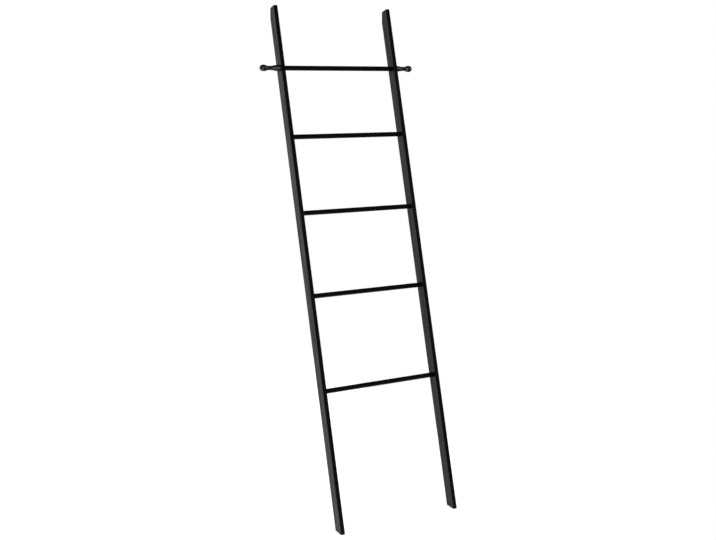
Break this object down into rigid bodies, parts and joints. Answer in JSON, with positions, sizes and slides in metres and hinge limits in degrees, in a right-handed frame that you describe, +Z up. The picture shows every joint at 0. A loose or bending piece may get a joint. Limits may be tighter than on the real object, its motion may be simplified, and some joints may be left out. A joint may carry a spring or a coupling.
{
  "type": "blanket ladder",
  "caption": "Leaning blanket ladder: straight flat stiles, round rungs spaced wider towards the floor, and a top rung that ends in turned finials outside the stiles.",
  "frame": {"origin": "on the floor, midway across the ladder, and midway in depth between the front of its feet and the faces that rest on the wall", "axes": "+Z up, +Y towards the wall that it leans on, +X to the right when it is seen from the front"},
  "size_m": [0.607, 0.5448, 1.7562],
  "materials": {
    "stained_wood": "black stain under a satin lacquer",
    "steel": "zinc plated",
    "pad_rubber": "matt"
  },
  "bodies": {
    "root": {"left_stile": "stained_wood", "right_stile": "stained_wood", "top_rung": "stained_wood", "second_rung": "stained_wood", "third_rung": "stained_wood", "fourth_rung": "stained_wood", "bottom_rung": "stained_wood", "left_finial": "stained_wood", "right_finial": "stained_wood", "left_dowel_screw": "steel", "right_dowel_screw": "steel", "rung_pins": "steel", "left_foot_pad": "pad_rubber", "right_foot_pad": "pad_rubber", "left_wall_pad": "pad_rubber", "right_wall_pad": "pad_rubber"}
  },
  "joints": []
}
